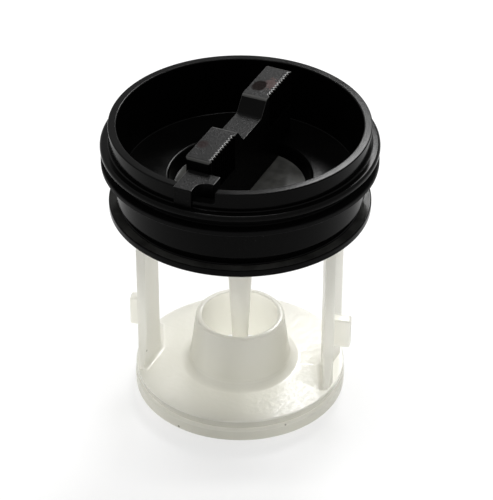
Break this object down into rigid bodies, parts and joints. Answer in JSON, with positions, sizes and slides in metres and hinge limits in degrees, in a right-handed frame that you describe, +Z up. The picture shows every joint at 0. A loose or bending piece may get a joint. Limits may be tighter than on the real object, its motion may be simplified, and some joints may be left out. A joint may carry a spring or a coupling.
{
  "type": "washer pump filter",
  "caption": "Washing machine drain pump filter: round screw cap with a serrated handle bar, rubber lip seal and an open two-legged cage with a conical hub and bayonet lugs.",
  "frame": {"origin": "on the filter's axis, at the underside of the foot ring", "axes": "+Z up along the axis from the foot ring to the cap; Y along the handle bar, with the rim block at -Y; X across the bar"},
  "size_m": [0.0648, 0.0648, 0.076],
  "materials": {
    "black_plastic": "satin moulded black plastic",
    "black_rubber": "smooth black rubber",
    "milky_plastic": "milky natural plastic, fairly glossy"
  },
  "bodies": {
    "root": {"cap": "black_plastic", "seal": "black_rubber", "cage": "milky_plastic"}
  },
  "joints": []
}
